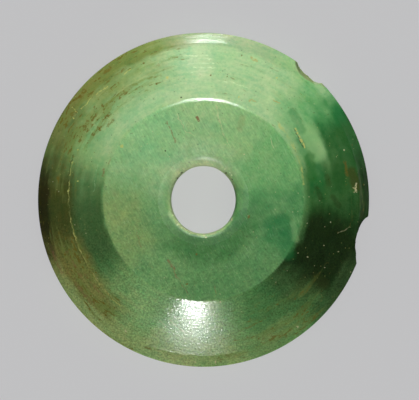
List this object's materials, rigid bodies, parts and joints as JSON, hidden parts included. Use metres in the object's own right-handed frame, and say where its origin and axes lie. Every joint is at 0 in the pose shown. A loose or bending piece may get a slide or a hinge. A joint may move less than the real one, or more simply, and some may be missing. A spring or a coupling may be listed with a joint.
{
  "type": "spindle whorl",
  "caption": "Round spindle whorl of polished green stone with a central spindle hole, a flat top, sloping flanks and a chipped rim; it adds weight to a hand spindle.",
  "frame": {"origin": "middle of the flat underside that the whorl lies on", "axes": "+Z along the spindle hole, from the underside to the smaller upper face; +X towards the right of the picture and +Y towards its top, the whorl being seen from straight above"},
  "size_m": [0.0448, 0.0452, 0.009],
  "materials": {
    "green_stone": "polished, slightly translucent green stone with lighter and darker clouds, rust-brown stains and fine scratches"
  },
  "bodies": {
    "root": {"whorl": "green_stone"}
  },
  "joints": []
}
